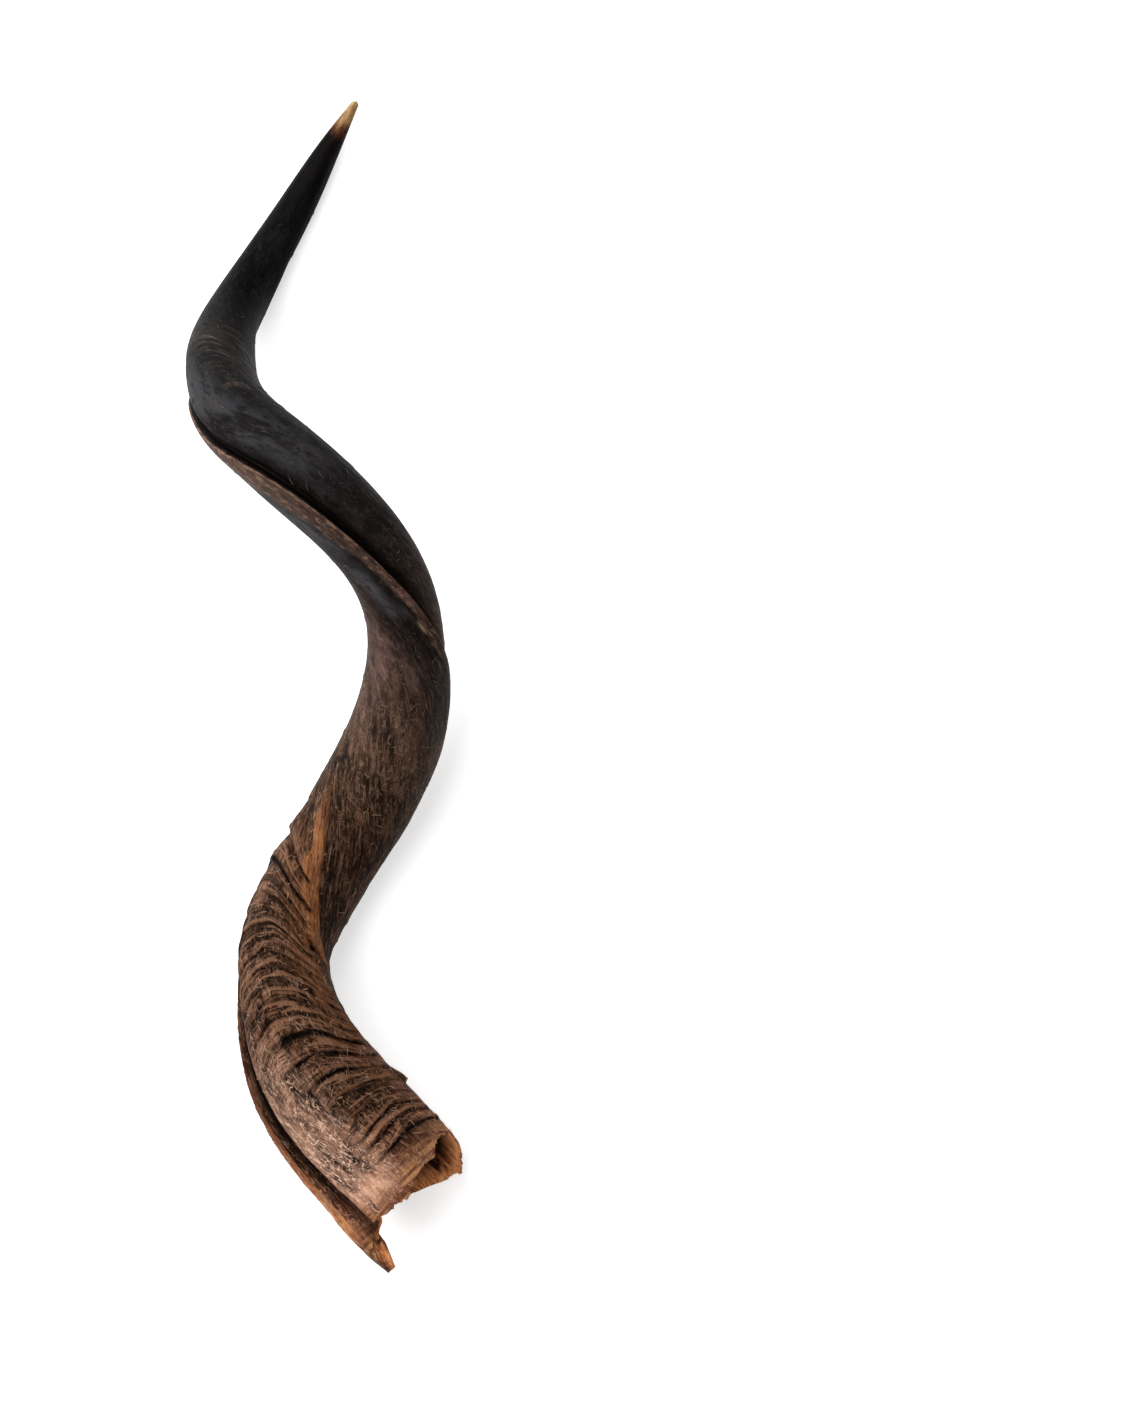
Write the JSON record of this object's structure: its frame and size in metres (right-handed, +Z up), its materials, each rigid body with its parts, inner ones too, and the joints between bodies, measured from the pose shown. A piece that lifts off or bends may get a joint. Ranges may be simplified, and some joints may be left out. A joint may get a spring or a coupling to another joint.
{
  "type": "kudu horn",
  "caption": "Hollow left-turning corkscrew kudu horn with a keel, growth rings, broken open base and pale tip, lying on its side.",
  "frame": {"origin": "on the floor, below the middle of the horn's bounding box as it lies", "axes": "+Y along the horn's length from the broken base to the tip, +Z up from the floor it lies on, +X to the right when the tip points away from the viewer"},
  "size_m": [0.1887, 0.7995, 0.1801],
  "materials": {
    "keratin": "natural horn keratin: satin black toward the tip, rough brown with growth rings toward the base"
  },
  "bodies": {
    "root": {"horn": "keratin"}
  },
  "joints": []
}
